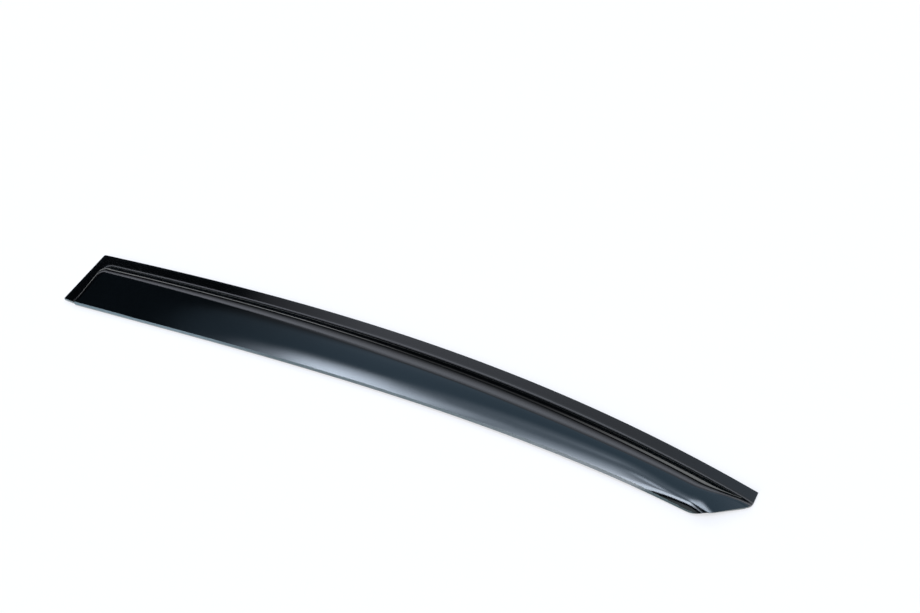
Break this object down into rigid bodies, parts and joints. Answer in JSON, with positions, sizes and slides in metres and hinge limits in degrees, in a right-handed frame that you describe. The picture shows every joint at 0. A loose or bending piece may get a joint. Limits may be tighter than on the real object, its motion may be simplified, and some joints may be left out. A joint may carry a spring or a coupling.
{
  "type": "window rain deflector",
  "caption": "Long curved smoked-acrylic deflector for the top of a car side window, with a flat flange, a stepped panel, a curled lip and foam tape behind the flange.",
  "frame": {"origin": "middle of the part's own box in plan, at the level of the tape's back face", "axes": "+X along the chord of the top edge from the closed end to the tapered end, +Y towards the top edge and its flange, +Z outwards from the door"},
  "size_m": [0.7824, 0.1132, 0.0162],
  "materials": {
    "smoked_acrylic": "high gloss, dark smoke tint with blue-green cut edges",
    "foam_tape": "matt black foam with an adhesive back"
  },
  "bodies": {
    "root": {"visor": "smoked_acrylic", "top_tape": "foam_tape", "end_tape": "foam_tape"}
  },
  "joints": []
}
